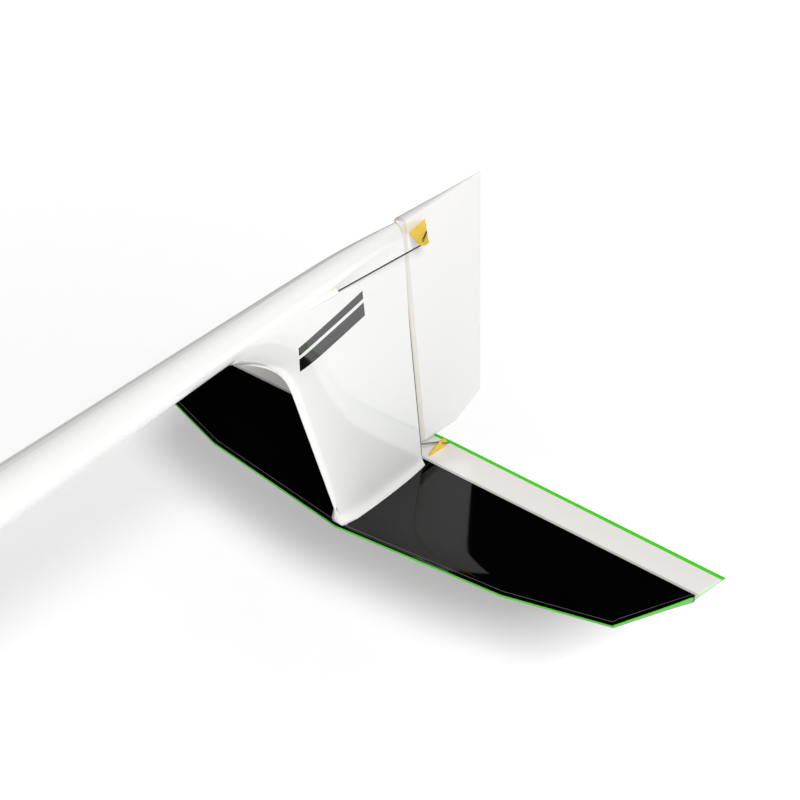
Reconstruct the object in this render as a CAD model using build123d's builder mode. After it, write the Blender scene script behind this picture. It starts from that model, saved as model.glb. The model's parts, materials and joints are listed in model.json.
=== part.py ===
from build123d import *
import math
import os

# Tail unit of a model sailplane, lying upside down on its stabiliser.
# Millimetres. +X aft along the stabiliser chord, +Y right, +Z up.
# The origin is at the centre of the boom's front mouth.

# ---- places of the main parts ----
boom_ahead = 450.0       # boom mouth to stabiliser leading edge, along X
boom_height = 235.0      # boom mouth above the stabiliser's mid-plane
boom_slope = 0.057       # rise of the boom's centreline per millimetre aft

# ---- boom: station aft of the mouth, half width, half height, centre height ----
boom_wall = 1.2
boom_stations = [(0, 21.3, 21.0, 0.0), (430, 12.2, 13.7, 24.5), (455, 11.4, 13.2, 25.7),
                 (480, 10.1, 12.6, 26.2), (505, 8.2, 12.0, 26.0), (530, 6.0, 11.4, 25.3),
                 (550, 4.6, 10.9, 24.4)]
socket_radius = 16.0
socket_length = 60.0

# ---- fin ----
fin_sweep = 0.334        # forward lean of the leading edge
fin_foot_x = 6.4         # leading edge of the fin at the stabiliser's mid-plane
fin_half = 7.0           # half thickness
fin_wall = 0.9
tail_lean = 0.137        # forward lean of the rudder's hinge line
hinge_foot_x = 124.5     # both hinge lines, aft of the stabiliser's leading edge
fin_gap = 5.6            # fin's rear edge ahead of the rudder's hinge line

# ---- rudder ----
rudder_low, rudder_high = 22.9, 273.5
rudder_nose_low, rudder_nose_high = 4.6, 5.1
rudder_rear_foot_x, rudder_rear_lean = 209.7, 0.0525
rudder_swing = 20.0
rudder_hinges = [55.0, 150.0, 235.0]

# ---- stabiliser: half span station, leading edge, half thickness ----
stab_stations = [(0.0, 0.0, 6.5), (167.6, 19.9, 5.6), (261.1, 48.1, 4.3), (290.5, 119.0, 3.2)]
stab_wall = 0.8
lip_gap = 1.5            # stabiliser's rear edge ahead of the elevator's hinge line
edge_band = 6.0          # depth of the solid leading edge

# ---- elevator ----
elevator_half_span = 300.0
elevator_root_rear, elevator_tip_rear = 167.3, 162.0
elevator_nose_root, elevator_nose_tip = 4.2, 2.2
elevator_hinges = [-220.0, -70.0, 70.0, 220.0]
rear_strip = 5.0         # depth of the coloured trailing strip

# ---- small hardware ----
skin = 0.7
thin_edge = 0.5          # half thickness of the trailing edges
nose_run = 0.3           # running gap round a round nose
pin_radius, pin_play = 0.8, 0.05
bush_radius = 1.6
lug_thick, lug_half_height, notch_play = 3.0, 1.5, 0.6
wire_radius = 0.75
horn_thick = 1.2
horn_hole = 0.95
glue = 0.04              # glue line between nested pieces

os.makedirs("parts", exist_ok=True)


# ---------- outlines and places ----------
def stab_x(x):
    return boom_ahead + x


def stab_z(z):
    return z - boom_height


def fin_edge(z):
    """Leading edge of the fin at height z: straight, then swept into the boom."""
    straight = fin_foot_x - fin_sweep * z
    rise = max(0.0, (z - 155.0) / 84.0)
    return straight - 55.0 * rise ** 3.2


def hinge_x(z):
    return hinge_foot_x - tail_lean * z


def level(z):
    """Horizontal plane z above the stabiliser, with its origin at the leading edge."""
    return Plane((stab_x(0), 0, stab_z(z)))


def upright(y):
    """Plane across the span at y, X aft and Y up."""
    return Plane((stab_x(0), y, stab_z(0)), x_dir=(1, 0, 0), z_dir=(0, -1, 0))


side_view = upright(0)


def foil(plane, front, thickest, half, rear, half_rear):
    """Half ellipse ahead of the thickest place, straight flanks behind it."""
    with BuildSketch(plane) as sketch:
        with BuildLine():
            EllipticalCenterArc((thickest, 0), thickest - front, half, 90, arc_size=180)
            Polyline((thickest, -half), (rear, -half_rear), (rear, half_rear), (thickest, half))
        make_face()
    return sketch.sketch


def prism(outline, reach=400.0):
    """Side view outline, carried across the whole span."""
    with BuildPart() as block:
        with BuildSketch(side_view):
            with BuildLine():
                Polyline(*outline, close=True)
            make_face()
        extrude(amount=reach, both=True)
    return block.part


def plan_prism(outline, reach=40.0):
    """Plan view outline, carried up and down."""
    with BuildPart() as block:
        with BuildSketch(level(0)):
            with BuildLine():
                Polyline(*outline, close=True)
            make_face()
        extrude(amount=reach, both=True)
    return block.part


def rod_between(start, end, radius):
    """Round bar from one place to another, given in the stabiliser's frame."""
    a = Vector(stab_x(start[0]), start[1], stab_z(start[2]))
    b = Vector(stab_x(end[0]), end[1], stab_z(end[2]))
    with BuildPart() as bar:
        with BuildSketch(Plane(a, z_dir=b - a)):
            Circle(radius)
        extrude(amount=(b - a).length)
    return bar.part


# ---------- solids that the shells are cut from ----------
boom_along = Vector(1, 0, boom_slope).normalized()


def boom_solid(wall):
    with BuildPart() as boom:
        for x, half_width, half_height, centre in boom_stations:
            station = Plane((x, 0, centre), x_dir=(0, 1, 0), z_dir=boom_along)
            with BuildSketch(station):
                Ellipse(half_width - wall, half_height - wall)
        loft(ruled=True)
    return boom.part


def fin_flare(z):
    """How far the foot of the fin spreads on the stabiliser."""
    return 6.0 * math.exp(-max(0.0, z - 6.5) / 3.2)


def fin_solid(wall, low):
    heights = [low, 7.0, 9.0, 12.0, 18.0, 90.0, 160.0, 185.0, 200.0, 212.0, 222.0, 231.0, 238.0]
    with BuildPart() as fin:
        for z in heights:
            flare = fin_flare(z) if wall == 0 else 0.0
            front = fin_edge(z)
            rear = hinge_x(z)
            half = fin_half + 0.012 * max(0.0, z - 150.0)
            add(foil(level(z), front - flare + wall, front + 0.32 * (rear - front),
                     half + flare - wall, rear, 4.7 - wall))
        top = 262.0 if wall == 0 else 256.0
        add(foil(level(top), -116.0 + wall, -60.0, 7.6 - wall, hinge_x(top), 4.9 - wall))
        loft(ruled=True)
    return fin.part


def rudder_solid(wall, front_trim, rear_trim):
    """Round nose on the hinge line, straight flanks to a thin edge."""
    with BuildPart() as rudder:
        for z in (10.0, 285.0):
            nose = rudder_nose_low + (rudder_nose_high - rudder_nose_low) * z / 285.0
            rear = rudder_rear_foot_x - rudder_rear_lean * z - rear_trim
            rear_half = thin_edge + (nose - thin_edge) * rear_trim / (rear + rear_trim - hinge_x(z))
            add(foil(level(z), hinge_x(z) - nose + front_trim, hinge_x(z), nose - wall, rear,
                     max(0.15, rear_half - wall)))
        loft(ruled=True)
    return rudder.part


def stab_solid(wall):
    with BuildPart() as stab:
        places = [(-y, f, h) for y, f, h in reversed(stab_stations[1:])] + stab_stations
        for y, front, half in places:
            rear = hinge_foot_x - lip_gap
            nose = elevator_nose(abs(y))
            add(foil(upright(y), front + wall, front + 0.34 * (rear - front), half - wall, rear,
                     nose + nose_run + stab_wall - wall))
        loft(ruled=True)
    return stab.part


def elevator_nose(y):
    return elevator_nose_root + (elevator_nose_tip - elevator_nose_root) * y / elevator_half_span


def elevator_rear(y):
    return elevator_root_rear + (elevator_tip_rear - elevator_root_rear) * y / elevator_half_span


def elevator_solid(wall, rear_trim):
    with BuildPart() as elevator:
        for y in (-elevator_half_span, 0.0, elevator_half_span):
            nose = elevator_nose(abs(y))
            rear = elevator_rear(abs(y)) - rear_trim
            chord = rear + rear_trim - hinge_foot_x
            rear_half = thin_edge + (nose - thin_edge) * rear_trim / chord
            add(foil(upright(y), hinge_foot_x - nose + wall, hinge_foot_x, nose - wall, rear,
                     max(0.15, rear_half - wall)))
        loft(ruled=True)
    return elevator.part


def cone_round_hinge(extra):
    """Room for the elevator's round nose, as a tapering bar on its hinge line."""
    with BuildPart() as bar:
        for y in (-elevator_half_span, 0.0, elevator_half_span):
            with BuildSketch(upright(y)):
                with Locations((hinge_foot_x, 0)):
                    Circle(elevator_nose(abs(y)) + extra)
        loft(ruled=True)
    return bar.part


boom_outer = boom_solid(0)
boom_inner = boom_solid(boom_wall)
fin_outer = fin_solid(0, 0.0)
fin_inner = fin_solid(fin_wall, -4.0)
fin_room = fin_solid(fin_wall + glue, -4.0)
stab_outer = stab_solid(0)
stab_inner = stab_solid(stab_wall)
stab_room = stab_solid(stab_wall + glue)
elevator_round = cone_round_hinge(nose_run)

# Everything ahead of the fin's rear edge, which leans with the rudder.
rear_low = (hinge_x(-20) - fin_gap, -20)
rear_high = (hinge_x(300) - fin_gap, 300)
ahead_of_rear = prism([(-600, -20), rear_low, rear_high, (-600, 300)])


# ---------- guide sleeve of the rudder's pushrod, through the boom's side ----------
horn_height = 258.0
horn_reach = 22.5
bend_offset = 2.15       # pushrod's axis below the middle of the rudder horn
hinge_lean = math.atan(0.137)
horn_place = (
    hinge_x(horn_height) + bend_offset * math.sin(hinge_lean),
    -horn_reach,
    horn_height - bend_offset * math.cos(hinge_lean),
)
sleeve_mouth = (-10.0, -13.5, 253.3)
sleeve_radius, sleeve_bore = 2.6, 2.2
rod_offset = 1.05        # pushrod rests this far outboard in the sleeve
rod_drop = 0.15          # and this far below the sleeve's axis
wire_mouth = (sleeve_mouth[0], sleeve_mouth[1] - rod_offset, sleeve_mouth[2] - rod_drop)


def along_sleeve(distance):
    """Place on the sleeve's axis, this far ahead of its mouth."""
    run = [horn_place[0] - wire_mouth[0], horn_place[1] - wire_mouth[1], horn_place[2] - wire_mouth[2]]
    size = math.sqrt(sum(part * part for part in run))
    return tuple(m - distance * part / size for m, part in zip(sleeve_mouth, run))


with BuildPart() as rudder_guide_sleeve:
    add(rod_between(along_sleeve(90.0), sleeve_mouth, sleeve_radius))
    add(rod_between(along_sleeve(91.0), along_sleeve(-1.0), sleeve_bore), mode=Mode.SUBTRACT)
rudder_guide_sleeve.part.label = "rudder_guide_sleeve"
export_step(rudder_guide_sleeve.part, "parts/rudder_guide_sleeve.step")


# ---------- boom and fin, one moulding in two halves ----------
sleeve_room = rod_between(along_sleeve(94.0), along_sleeve(-4.0), sleeve_radius + glue)


def tail_half(side):
    """One moulded half shell: boom and fin together, split on the middle plane."""
    with BuildPart() as half:
        add(boom_outer)
        add(fin_outer)
        add(ahead_of_rear, mode=Mode.INTERSECT)
        add(boom_inner, mode=Mode.SUBTRACT)
        add(fin_inner, mode=Mode.SUBTRACT)
        add(stab_outer, mode=Mode.SUBTRACT)
        add(sleeve_room, mode=Mode.SUBTRACT)
        split(bisect_by=Plane.XZ, keep=side)
    return half.part


with BuildPart() as tail_shell_left:
    add(tail_half(Keep.TOP))
tail_shell_left.part.label = "tail_shell_left"
export_step(tail_shell_left.part, "parts/tail_shell_left.step")

with BuildPart() as tail_shell_right:
    add(tail_half(Keep.BOTTOM))
tail_shell_right.part.label = "tail_shell_right"
export_step(tail_shell_right.part, "parts/tail_shell_right.step")


# ---------- sleeve that plugs the tail onto the fuselage ----------
with BuildPart() as boom_joint_sleeve:
    add(boom_solid(boom_wall + glue))
    socket_end = Plane(boom_along * socket_length, z_dir=boom_along)
    split(bisect_by=socket_end, keep=Keep.BOTTOM)
    with BuildSketch(Plane((0, 0, 0), z_dir=boom_along).offset(-5)):
        Circle(socket_radius)
    extrude(amount=socket_length + 10, mode=Mode.SUBTRACT)
boom_joint_sleeve.part.label = "boom_joint_sleeve"
export_step(boom_joint_sleeve.part, "parts/boom_joint_sleeve.step")


# ---------- inside the fin ----------
block_top = 24.0
screw_places = [40.0, 88.0]
insert_radius, screw_radius, screw_head = 3.0, 2.0, 4.0


def on_screws(low, high, radius):
    """Upright round bars at both stabiliser screws."""
    with BuildPart() as bars:
        with BuildSketch(level(low)):
            with Locations(*[(x, 0) for x in screw_places]):
                Circle(radius)
        extrude(amount=high - low)
    return bars.part


with BuildPart() as fin_foot_block:
    add(fin_room)
    add(prism([(15, -5), (hinge_x(-5) - fin_gap - 6, -5), (hinge_x(block_top) - fin_gap - 6, block_top),
               (15, block_top)]), mode=Mode.INTERSECT)
    add(stab_outer, mode=Mode.SUBTRACT)
    add(on_screws(-5, block_top + 1, insert_radius + glue), mode=Mode.SUBTRACT)
fin_foot_block.part.label = "fin_foot_block"
export_step(fin_foot_block.part, "parts/fin_foot_block.step")

with BuildPart() as fin_screw_inserts:
    add(on_screws(8.0, block_top, insert_radius))
    add(on_screws(7.0, block_top + 1, screw_radius + glue), mode=Mode.SUBTRACT)
fin_screw_inserts.part.label = "fin_screw_inserts"
export_step(fin_screw_inserts.part, "parts/fin_screw_inserts.step")


def spar_line(z):
    return fin_foot_x - fin_sweep * z + 40.0


with BuildPart() as fin_spar:
    add(fin_room)
    spar_low, spar_high, spar_thick = block_top + 2, 230.0, 2.5
    add(prism([(spar_line(spar_low), spar_low), (spar_line(spar_low) + spar_thick, spar_low),
               (spar_line(spar_high) + spar_thick, spar_high), (spar_line(spar_high), spar_high)]),
        mode=Mode.INTERSECT)
fin_spar.part.label = "fin_spar"
export_step(fin_spar.part, "parts/fin_spar.step")


# ---------- hinges of the rudder ----------
tilt = math.hypot(1, tail_lean)
axis_up = Vector(-tail_lean / tilt, 0, 1 / tilt)
axis_aft = Vector(1 / tilt, 0, tail_lean / tilt)


def on_rudder_axis(z, lift=0.0):
    """Plane square to the rudder's hinge line at height z, X aft and Y right."""
    place = Vector(stab_x(hinge_x(z)), 0, stab_z(z))
    return Plane(place + axis_up * lift, x_dir=axis_aft, z_dir=axis_up)


def rudder_axis_bars(low, high, radius):
    with BuildPart() as bars:
        for z in rudder_hinges:
            with BuildSketch(on_rudder_axis(z, low)):
                Circle(radius)
            extrude(amount=high - low)
    return bars.part


def rudder_slots(half_height, reach, width):
    """Boxes round each rudder hinge, from ahead of the hinge line to this far behind it."""
    with BuildPart() as boxes:
        for z in rudder_hinges:
            with BuildSketch(on_rudder_axis(z, -half_height)):
                with Locations(((reach - 10) / 2, 0)):
                    Rectangle(reach + 10, width)
            extrude(amount=2 * half_height)
    return boxes.part


pin_half = 6.2
bush_end = 6.3
notch = lug_half_height + notch_play
lug_width = 4.0

with BuildPart() as rudder_hinge_lugs:
    for z in rudder_hinges:
        with BuildSketch(on_rudder_axis(z, -lug_half_height)):
            with Locations((-5.0, 0)):
                Rectangle(10.0, lug_width)
            Circle(lug_width / 2)
            Circle(pin_radius + 0.01, mode=Mode.SUBTRACT)
        extrude(amount=2 * lug_half_height)
rudder_hinge_lugs.part.label = "rudder_hinge_lugs"
export_step(rudder_hinge_lugs.part, "parts/rudder_hinge_lugs.step")

with BuildPart() as rudder_hinge_pins:
    add(rudder_axis_bars(-pin_half, pin_half, pin_radius))
rudder_hinge_pins.part.label = "rudder_hinge_pins"
export_step(rudder_hinge_pins.part, "parts/rudder_hinge_pins.step")


# ---------- pushrod of the elevator ----------
elevator_hole = (150.0, 8.6)
rod_line_y = 0.45
rod_exit = (hinge_x(25) - fin_gap, 25.0)
exit_slope = (rod_exit[1] - elevator_hole[1]) / (rod_exit[0] - elevator_hole[0])
rod_front_x = 64.0


def rod_height(x):
    return elevator_hole[1] + exit_slope * (x - elevator_hole[0])


with BuildPart() as fin_rear_web:
    add(fin_room)
    web_low, web_high, web_thick = 7.5, 236.0, 4.0
    add(prism([(hinge_x(0) - fin_gap - web_thick, 0), (hinge_x(0) - fin_gap, 0),
               (hinge_x(web_high) - fin_gap, web_high),
               (hinge_x(web_high) - fin_gap - web_thick, web_high)]), mode=Mode.INTERSECT)
    add(stab_outer, mode=Mode.SUBTRACT)
    add(rudder_slots(lug_half_height + glue, 4.0, lug_width + 2 * glue), mode=Mode.SUBTRACT)
    with BuildSketch(side_view):
        with Locations((rod_exit[0], rod_exit[1] + 1)):
            Rectangle(16, 11)
    extrude(amount=1.9, both=True, mode=Mode.SUBTRACT)
fin_rear_web.part.label = "fin_rear_web"
export_step(fin_rear_web.part, "parts/fin_rear_web.step")

with BuildPart() as boom_end_plug:
    add(boom_solid(boom_wall + glue))
    add(prism([(hinge_x(238) - fin_gap - 3, 238), (hinge_x(238) - fin_gap, 238),
               (hinge_x(290) - fin_gap, 290), (hinge_x(290) - fin_gap - 3, 290)]), mode=Mode.INTERSECT)
boom_end_plug.part.label = "boom_end_plug"
export_step(boom_end_plug.part, "parts/boom_end_plug.step")

guide_radius, guide_bore = 1.6, 1.1
guide_entry = (52.0, rod_height(52.0))
guide_bend = (36.0, rod_height(36.0))
guide_top = 250.0
with BuildPart() as elevator_guide_tube:
    turn_x = guide_bend[0] - fin_sweep * (guide_top - guide_bend[1])
    with BuildLine(Plane((stab_x(0), rod_line_y, stab_z(0)), x_dir=(1, 0, 0), z_dir=(0, -1, 0))) as route:
        FilletPolyline(guide_entry, guide_bend, (turn_x, guide_top),
                       (turn_x - 110.0, guide_top - 110.0 * boom_slope), radius=[22.0, 45.0])
    entry_way = route.line % 0
    with BuildSketch(Plane(route.line @ 0, z_dir=entry_way)):
        Circle(guide_radius)
        Circle(guide_bore, mode=Mode.SUBTRACT)
    sweep(path=route.line)
elevator_guide_tube.part.label = "elevator_guide_tube"
export_step(elevator_guide_tube.part, "parts/elevator_guide_tube.step")


# ---------- stabiliser ----------
band_lines = [(f + edge_band, y) for y, f, h in stab_stations[:2]] + [(54.5, 258.5), (126.0, 288.2)]
band_lines = [(x, -y) for x, y in reversed(band_lines[1:])] + band_lines
behind_band = plan_prism(band_lines)
behind_band_room = plan_prism([(x + glue, y * 0.9999) for x, y in band_lines])
ahead_of_nose = plan_prism([(-10, -300), (120.6, -300), (120.6, 300), (-10, 300)])


def stab_skin(side):
    """Thin outer skin behind the solid leading edge, above or below the mid-plane."""
    with BuildPart() as shell:
        add(stab_outer)
        add(stab_inner, mode=Mode.SUBTRACT)
        add(behind_band, mode=Mode.INTERSECT)
        add(elevator_round, mode=Mode.SUBTRACT)
        add(on_screws(-8, 8, screw_head + 0.1), mode=Mode.SUBTRACT)
        split(bisect_by=level(0), keep=side)
    return shell.part


with BuildPart() as stab_skin_upper:
    add(stab_skin(Keep.TOP))
stab_skin_upper.part.label = "stab_skin_upper"
export_step(stab_skin_upper.part, "parts/stab_skin_upper.step")

with BuildPart() as stab_skin_lower:
    add(stab_skin(Keep.BOTTOM))
stab_skin_lower.part.label = "stab_skin_lower"
export_step(stab_skin_lower.part, "parts/stab_skin_lower.step")

with BuildPart() as stab_leading_edge:
    add(stab_outer)
    add(behind_band, mode=Mode.SUBTRACT)
    add(ahead_of_nose, mode=Mode.INTERSECT)
stab_leading_edge.part.label = "stab_leading_edge"
export_step(stab_leading_edge.part, "parts/stab_leading_edge.step")

spar_front, spar_depth, spar_half_span = 56.0, 6.0, 240.0
web_depth = 7.5
block_front, block_rear, block_half_width = 28.0, 104.0, 16.0


def stab_slab(x_low, x_high, y_low, y_high):
    """Block that fills the hollow stabiliser between these places."""
    with BuildPart() as slab:
        add(stab_room)
        add(behind_band_room, mode=Mode.INTERSECT)
        add(plan_prism([(x_low, y_low), (x_high, y_low), (x_high, y_high), (x_low, y_high)]),
            mode=Mode.INTERSECT)
    return slab.part


with BuildPart() as stab_centre_block:
    add(stab_slab(block_front, block_rear, -block_half_width, block_half_width))
    add(on_screws(-8, 8, screw_radius + glue), mode=Mode.SUBTRACT)
    add(on_screws(-8, -1, screw_head + 0.1), mode=Mode.SUBTRACT)
stab_centre_block.part.label = "stab_centre_block"
export_step(stab_centre_block.part, "parts/stab_centre_block.step")

with BuildPart() as stab_spars:
    for side in (-1, 1):
        ends = sorted([side * (block_half_width + glue), side * spar_half_span])
        add(stab_slab(spar_front, spar_front + spar_depth, *ends))
stab_spars.part.label = "stab_spars"
export_step(stab_spars.part, "parts/stab_spars.step")

with BuildPart() as stab_tip_ribs:
    for side in (-1, 1):
        ends = sorted([side * (spar_half_span + glue), side * (spar_half_span + 3)])
        add(stab_slab(40.0, hinge_foot_x - web_depth - 1, *ends))
stab_tip_ribs.part.label = "stab_tip_ribs"
export_step(stab_tip_ribs.part, "parts/stab_tip_ribs.step")


def elevator_slots(half_width, reach, height):
    """Boxes round each elevator hinge, from ahead of the hinge line to this far behind it."""
    with BuildPart() as boxes:
        for y in elevator_hinges:
            with BuildSketch(upright(y + half_width)):
                with Locations((hinge_foot_x + (reach - 10) / 2, 0)):
                    Rectangle(reach + 10, height)
            extrude(amount=2 * half_width)
    return boxes.part


def elevator_axis_bars(low, high, radius):
    with BuildPart() as bars:
        for y in elevator_hinges:
            with BuildSketch(upright(y - low)):
                with Locations((hinge_foot_x, 0)):
                    Circle(radius)
            extrude(amount=high - low)
    return bars.part


elevator_lug_height = 3.2
with BuildPart() as stab_rear_web:
    add(stab_slab(hinge_foot_x - web_depth, hinge_foot_x, -281.0, 281.0))
    add(elevator_round, mode=Mode.SUBTRACT)
    add(elevator_slots(lug_half_height + glue, 4.0, elevator_lug_height + 2 * glue), mode=Mode.SUBTRACT)
    add(plan_prism([(hinge_foot_x - lip_gap, -300), (160, -300), (160, 300), (hinge_foot_x - lip_gap, 300)]),
        mode=Mode.SUBTRACT)
stab_rear_web.part.label = "stab_rear_web"
export_step(stab_rear_web.part, "parts/stab_rear_web.step")

with BuildPart() as stab_screws:
    screw_low, screw_high = -5.0, 20.0
    add(on_screws(screw_low, screw_high, screw_radius))
    add(on_screws(screw_low, -1.6, screw_head))
    with BuildSketch(level(screw_low)):
        with Locations(*[(x, 0) for x in screw_places]):
            RegularPolygon(1.5, 6)
    extrude(amount=2.0, mode=Mode.SUBTRACT)
stab_screws.part.label = "stab_screws"
export_step(stab_screws.part, "parts/stab_screws.step")

with BuildPart() as elevator_hinge_lugs:
    for y in elevator_hinges:
        with BuildSketch(upright(y + lug_half_height)):
            with Locations((hinge_foot_x - 4.5, 0)):
                Rectangle(9.0, elevator_lug_height)
            with Locations((hinge_foot_x, 0)):
                Circle(elevator_lug_height / 2)
                Circle(pin_radius + 0.01, mode=Mode.SUBTRACT)
        extrude(amount=2 * lug_half_height)
elevator_hinge_lugs.part.label = "elevator_hinge_lugs"
export_step(elevator_hinge_lugs.part, "parts/elevator_hinge_lugs.step")

with BuildPart() as elevator_hinge_pins:
    add(elevator_axis_bars(-pin_half, pin_half, pin_radius))
elevator_hinge_pins.part.label = "elevator_hinge_pins"
export_step(elevator_hinge_pins.part, "parts/elevator_hinge_pins.step")


# ---------- elevator ----------
nose_depth = 5.0
notch_room = elevator_slots(notch, 4.0, 12.0)
elevator_full = elevator_solid(0, 0)
elevator_hollow = elevator_solid(skin, rear_strip)
elevator_fill = elevator_solid(skin + glue, rear_strip)
elevator_tip_line = [(110, -289), (hinge_foot_x, -291.5), (elevator_tip_rear, -elevator_half_span), (180, -300),
                     (180, 300), (elevator_tip_rear, elevator_half_span), (hinge_foot_x, 291.5), (110, 289)]
elevator_plan = plan_prism(elevator_tip_line)
behind_nose = plan_prism([(hinge_foot_x + nose_depth, -310), (200, -310), (200, 310),
                          (hinge_foot_x + nose_depth, 310)])
rear_edge = [(elevator_tip_rear - rear_strip, -elevator_half_span), (elevator_root_rear - rear_strip, 0),
             (elevator_tip_rear - rear_strip, elevator_half_span)]
behind_strip = plan_prism(rear_edge + [(200, 310), (200, -310)])

# Horn: a thin woven glass plate that stands in the skin, square to the hinge line.
elevator_horn_y = -0.6
with BuildPart() as elevator_horn:
    with BuildSketch(upright(elevator_horn_y)):
        with BuildLine():
            Polyline((131, 1.0), (157, 1.0), (156, 8.4), (153.2, 11.6), (147.6, 11.6), (131, 5.4), (131, 1.0))
        make_face()
        with Locations(elevator_hole):
            Circle(horn_hole, mode=Mode.SUBTRACT)
    extrude(amount=horn_thick)
elevator_horn.part.label = "elevator_horn"
export_step(elevator_horn.part, "parts/elevator_horn.step")


def elevator_skin(side):
    with BuildPart() as shell:
        add(elevator_full)
        add(behind_nose, mode=Mode.INTERSECT)
        add(elevator_plan, mode=Mode.INTERSECT)
        add(behind_strip, mode=Mode.SUBTRACT)
        add(elevator_hollow, mode=Mode.SUBTRACT)
        add(elevator_horn.part, mode=Mode.SUBTRACT)
        split(bisect_by=level(0), keep=side)
    return shell.part


with BuildPart() as elevator_skin_upper:
    add(elevator_skin(Keep.TOP))
elevator_skin_upper.part.label = "elevator_skin_upper"
export_step(elevator_skin_upper.part, "parts/elevator_skin_upper.step")

with BuildPart() as elevator_skin_lower:
    add(elevator_skin(Keep.BOTTOM))
elevator_skin_lower.part.label = "elevator_skin_lower"
export_step(elevator_skin_lower.part, "parts/elevator_skin_lower.step")

with BuildPart() as elevator_nose_spar:
    add(elevator_full)
    add(elevator_plan, mode=Mode.INTERSECT)
    add(behind_nose, mode=Mode.SUBTRACT)
    add(notch_room, mode=Mode.SUBTRACT)
    add(elevator_axis_bars(-bush_end, bush_end, bush_radius), mode=Mode.SUBTRACT)
elevator_nose_spar.part.label = "elevator_nose_spar"
export_step(elevator_nose_spar.part, "parts/elevator_nose_spar.step")

with BuildPart() as elevator_trailing_edge:
    add(elevator_full)
    add(elevator_plan, mode=Mode.INTERSECT)
    add(behind_strip, mode=Mode.INTERSECT)
elevator_trailing_edge.part.label = "elevator_trailing_edge"
export_step(elevator_trailing_edge.part, "parts/elevator_trailing_edge.step")

with BuildPart() as elevator_tip_ribs:
    add(elevator_fill)
    add(plan_prism([(hinge_foot_x + nose_depth + glue, -310), (200, -310), (200, 310),
                    (hinge_foot_x + nose_depth + glue, 310)]), mode=Mode.INTERSECT)
    add(elevator_plan, mode=Mode.INTERSECT)
    add(plan_prism([(100, -286), (200, -286), (200, 286), (100, 286)]), mode=Mode.SUBTRACT)
    add(behind_strip, mode=Mode.SUBTRACT)
elevator_tip_ribs.part.label = "elevator_tip_ribs"
export_step(elevator_tip_ribs.part, "parts/elevator_tip_ribs.step")

with BuildPart() as elevator_hinge_bushes:
    add(elevator_axis_bars(-bush_end, bush_end, bush_radius))
    add(elevator_axis_bars(-bush_end - 1, bush_end + 1, pin_radius + pin_play), mode=Mode.SUBTRACT)
    add(notch_room, mode=Mode.SUBTRACT)
elevator_hinge_bushes.part.label = "elevator_hinge_bushes"
export_step(elevator_hinge_bushes.part, "parts/elevator_hinge_bushes.step")


# ---------- rudder ----------
rudder_full = rudder_solid(0, 0, 0)
rudder_hollow = rudder_solid(skin, skin, rear_strip)
rudder_fill = rudder_solid(skin + glue, skin, rear_strip)
low_edge = [(90, 30.0), (hinge_x(28) + 4, 27.5), (166.7, rudder_low), (207.8, 39.0), (230, 60)]
rudder_side = prism(low_edge + [(230, rudder_high), (60, rudder_high)])


def rudder_behind(depth):
    """Room this far behind the rudder's hinge line."""
    return prism([(hinge_x(-20) + depth, -20), (300, -20), (300, 300), (hinge_x(300) + depth, 300)])


def rudder_strip(depth):
    low, high = -20, 300
    return prism([(rudder_rear_foot_x - rudder_rear_lean * low - depth, low), (300, low), (300, high),
                  (rudder_rear_foot_x - rudder_rear_lean * high - depth, high)])


notch_in_rudder = rudder_slots(notch, 4.0, 16.0)

# Horn: a thin plate square to the hinge line; its hole stands abeam of the hinge line.
with BuildPart() as rudder_horn:
    with BuildSketch(on_rudder_axis(horn_height)):
        with BuildLine():
            Polyline((5, -1.2), (26, -1.2), (26, -3.6), (4.2, -24.5), (2.0, -27.2), (-3.4, -27.2),
                     (-4.6, -24.5), (-3.8, -18.5), (1.8, -7.4), (5, -1.2))
        make_face()
        with Locations((0, -horn_reach)):
            Circle(horn_hole, mode=Mode.SUBTRACT)
    extrude(amount=horn_thick / 2, both=True)
rudder_horn.part.label = "rudder_horn"
export_step(rudder_horn.part, "parts/rudder_horn.step")


def rudder_skin(side):
    with BuildPart() as shell:
        add(rudder_full)
        add(rudder_behind(nose_depth), mode=Mode.INTERSECT)
        add(rudder_side, mode=Mode.INTERSECT)
        add(rudder_strip(rear_strip), mode=Mode.SUBTRACT)
        add(rudder_hollow, mode=Mode.SUBTRACT)
        add(rudder_horn.part, mode=Mode.SUBTRACT)
        split(bisect_by=Plane.XZ, keep=side)
    return shell.part


with BuildPart() as rudder_skin_left:
    add(rudder_skin(Keep.TOP))
rudder_skin_left.part.label = "rudder_skin_left"
export_step(rudder_skin_left.part, "parts/rudder_skin_left.step")

with BuildPart() as rudder_skin_right:
    add(rudder_skin(Keep.BOTTOM))
rudder_skin_right.part.label = "rudder_skin_right"
export_step(rudder_skin_right.part, "parts/rudder_skin_right.step")

with BuildPart() as rudder_nose_spar:
    add(rudder_full)
    add(rudder_side, mode=Mode.INTERSECT)
    add(rudder_behind(nose_depth), mode=Mode.SUBTRACT)
    add(notch_in_rudder, mode=Mode.SUBTRACT)
    add(rudder_axis_bars(-bush_end, bush_end, bush_radius), mode=Mode.SUBTRACT)
    add(rudder_horn.part, mode=Mode.SUBTRACT)
rudder_nose_spar.part.label = "rudder_nose_spar"
export_step(rudder_nose_spar.part, "parts/rudder_nose_spar.step")

with BuildPart() as rudder_trailing_edge:
    add(rudder_full)
    add(rudder_side, mode=Mode.INTERSECT)
    add(rudder_strip(rear_strip), mode=Mode.INTERSECT)
rudder_trailing_edge.part.label = "rudder_trailing_edge"
export_step(rudder_trailing_edge.part, "parts/rudder_trailing_edge.step")


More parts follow.
